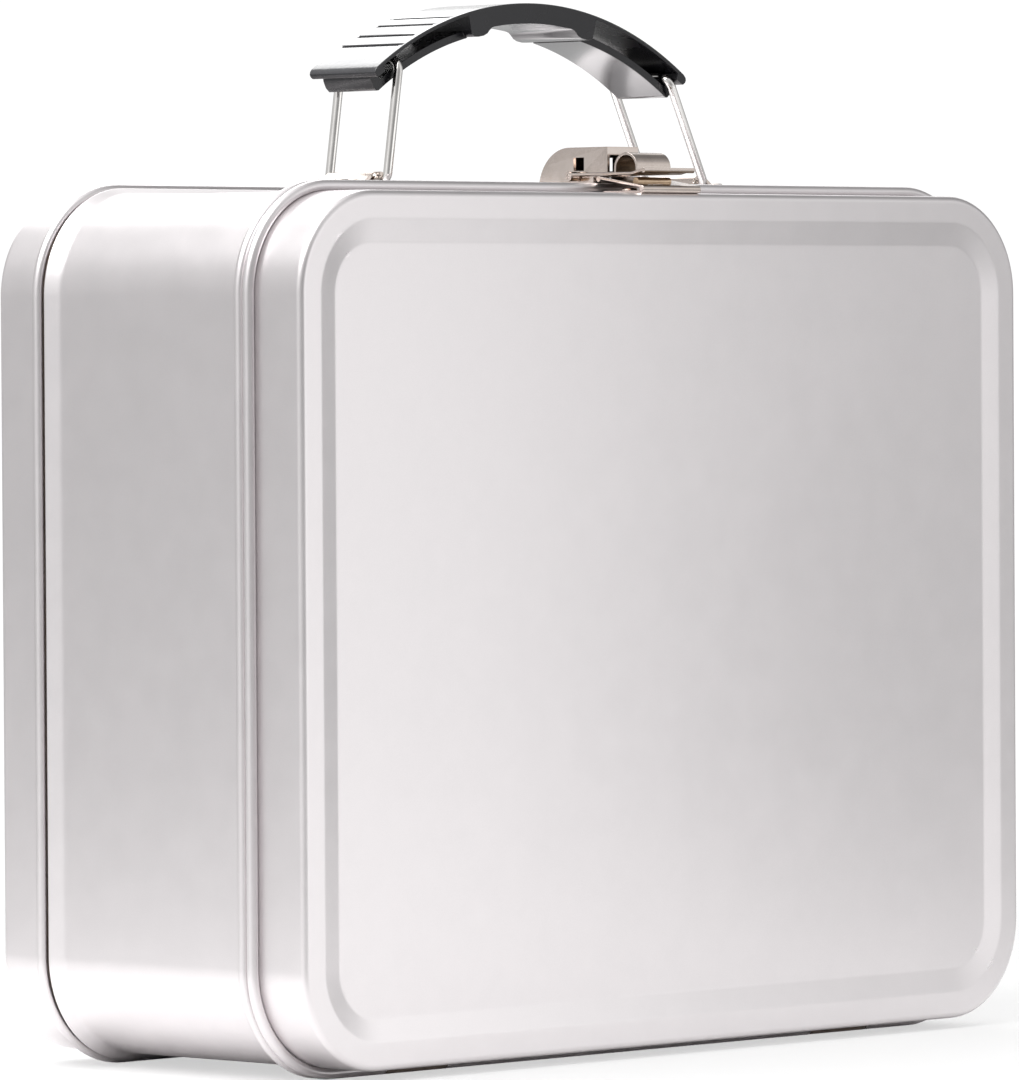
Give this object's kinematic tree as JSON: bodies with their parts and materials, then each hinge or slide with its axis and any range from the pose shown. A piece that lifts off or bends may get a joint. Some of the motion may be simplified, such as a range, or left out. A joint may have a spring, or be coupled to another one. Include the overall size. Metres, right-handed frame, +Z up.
{
  "type": "metal lunch box",
  "caption": "Plain satin tinplate lunch box: band and pressed rear cover, front lid hinged along the bottom, snap hasp on top, arched plastic grip on wire bails.",
  "frame": {"origin": "middle of the underside: x and y in the middle of the box, z = 0 on the plane that the two curled rims stand on", "axes": "+Z up, +X to the right of someone looking at the lid, +Y from the lid to the rear cover"},
  "size_m": [0.2072, 0.0826, 0.2047],
  "materials": {
    "tinplate": "bare satin tinplate with a fine grain",
    "nickel_hardware": "bright nickel plating on stamped steel",
    "bright_wire": "bright plated steel wire",
    "striker_brass": "rolled brass strip",
    "black_plastic": "moulded black plastic, pebbled on top and smooth beneath"
  },
  "bodies": {
    "box": {"body_band": "tinplate", "rear_cover": "tinplate", "hinge_strap_left": "nickel_hardware", "hinge_strap_right": "nickel_hardware", "hinge_rivets_left": "nickel_hardware", "hinge_rivets_right": "nickel_hardware", "latch_base_plate": "nickel_hardware", "latch_backing_plate": "nickel_hardware", "latch_rivets": "nickel_hardware", "latch_hood": "nickel_hardware", "bail_bracket_left": "nickel_hardware", "bail_bracket_right": "nickel_hardware", "bracket_rivets_left": "nickel_hardware", "bracket_rivets_right": "nickel_hardware", "bracket_backing_plate_left": "nickel_hardware", "bracket_backing_plate_right": "nickel_hardware"},
    "lid": {"front_lid": "tinplate", "lid_keeper": "nickel_hardware", "keeper_rivets": "nickel_hardware", "keeper_striker": "striker_brass", "hinge_pin_left": "nickel_hardware", "hinge_pin_right": "nickel_hardware"},
    "hasp": {"latch_hasp": "nickel_hardware", "latch_hasp_pin": "nickel_hardware"},
    "bail_left": {"bail_left": "bright_wire"},
    "bail_right": {"bail_right": "bright_wire"},
    "grip": {"handle_grip": "black_plastic"}
  },
  "joints": [
    {"name": "lid_hinge", "type": "hinge", "parent": "box", "child": "lid", "pos_m": [0, -0.02845, 0.0011], "axis": [1, 0, 0], "range_deg": [0, 115]},
    {"name": "hasp_hinge", "type": "hinge", "parent": "box", "child": "hasp", "pos_m": [0, -0.01985, 0.1706], "axis": [-1, 0, 0], "range_deg": [0, 110]},
    {"name": "grip_drop", "type": "slide", "parent": "box", "child": "grip", "axis": [0, 0, -1], "range_m": [0, 0.0135]},
    {"name": "bail_left_swing", "type": "hinge", "parent": "box", "child": "bail_left", "pos_m": [-0.045, 0, 0.1697], "axis": [0, 1, 0], "range_deg": [0, 40]},
    {"name": "bail_right_swing", "type": "hinge", "parent": "box", "child": "bail_right", "pos_m": [0.045, 0, 0.1697], "axis": [0, -1, 0], "range_deg": [0, 32]}
  ],
  "couplings": [
    {"joint": "bail_left_swing", "follows": "grip_drop", "rad_per_m": 50.96},
    {"joint": "bail_right_swing", "follows": "grip_drop", "rad_per_m": 40.5}
  ]
}
